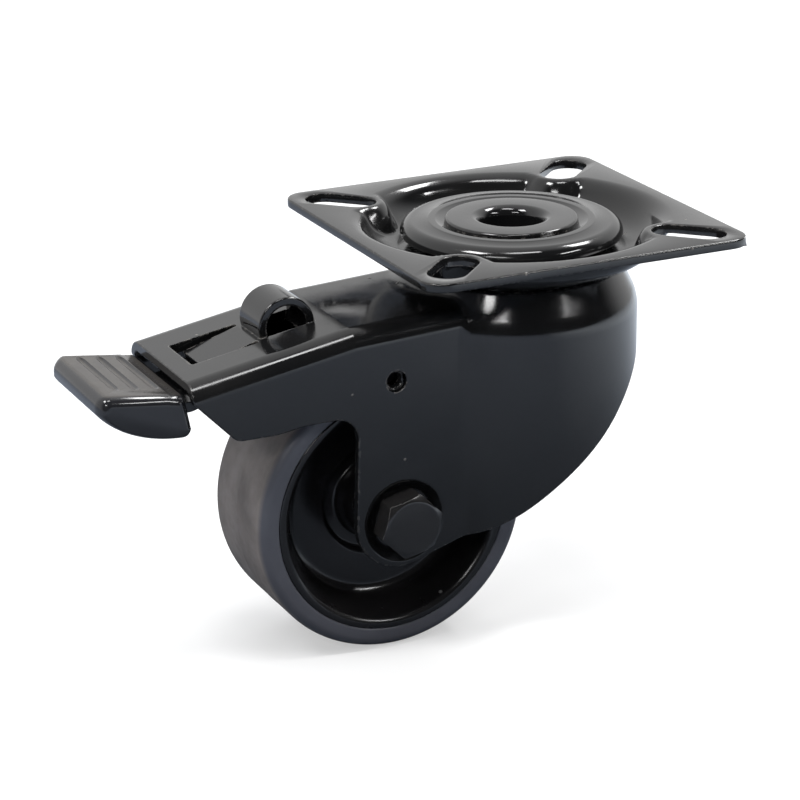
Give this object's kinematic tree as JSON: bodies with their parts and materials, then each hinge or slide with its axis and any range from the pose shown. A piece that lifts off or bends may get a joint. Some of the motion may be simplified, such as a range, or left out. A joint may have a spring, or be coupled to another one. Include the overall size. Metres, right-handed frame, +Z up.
{
  "type": "swivel castor",
  "caption": "Swivel castor with a slotted square top plate, a hooded pressed fork, a tyred wheel and a foot brake pedal.",
  "frame": {"origin": "on the swivel axis, in the mounting face of the top plate", "axes": "+Z up towards the furniture, +X away from the pedal and the trailing wheel, +Y to the nut side of the axle"},
  "size_m": [0.1097, 0.06, 0.0707],
  "materials": {
    "black_steel": "glossy black e-coat",
    "black_bolt": "satin black",
    "bearing_steel": "polished, oiled",
    "plain_steel": "zinc plated, dull",
    "spring_steel": "dark, oiled",
    "black_hub": "glossy moulded",
    "tyre": "matt grey rubber",
    "black_pedal": "satin moulded",
    "insert": "nylon"
  },
  "bodies": {
    "plate": {"top_plate": "black_steel"},
    "swivel_head": {"race_cap": "black_steel", "kingpin_rivet": "black_steel", "fork": "black_steel", "axle_sleeve": "plain_steel", "axle_bolt": "black_bolt", "axle_nut": "black_bolt", "nut_insert": "insert"},
    "upper_ball_ring": {"upper_balls": "bearing_steel"},
    "lower_ball_ring": {"lower_balls": "bearing_steel"},
    "wheel": {"wheel_hub": "black_hub", "tyre": "tyre"},
    "brake": {"brake_lever": "black_steel", "brake_shoe": "spring_steel", "shoe_rivets": "plain_steel", "brake_pedal": "black_pedal"}
  },
  "joints": [
    {"name": "swivel", "type": "hinge", "parent": "plate", "child": "swivel_head", "pos_m": [0, 0, -0.006], "axis": [0, 0, 1], "continuous": true},
    {"name": "upper_ball_run", "type": "hinge", "parent": "plate", "child": "upper_ball_ring", "pos_m": [0, 0, -0.0036], "axis": [0, 0, 1], "continuous": true},
    {"name": "lower_ball_run", "type": "hinge", "parent": "plate", "child": "lower_ball_ring", "pos_m": [0, 0, -0.0081], "axis": [0, 0, 1], "continuous": true},
    {"name": "wheel_roll", "type": "hinge", "parent": "swivel_head", "child": "wheel", "pos_m": [-0.0274, 0, -0.046], "axis": [0, 1, 0], "continuous": true},
    {"name": "brake_pivot", "type": "hinge", "parent": "swivel_head", "child": "brake", "pos_m": [-0.0287, 0, -0.021], "axis": [0, -1, 0], "range_deg": [0, 7.5]}
  ],
  "couplings": [
    {"joint": "upper_ball_run", "follows": "swivel", "ratio": 0.5},
    {"joint": "lower_ball_run", "follows": "swivel", "ratio": 0.5}
  ]
}
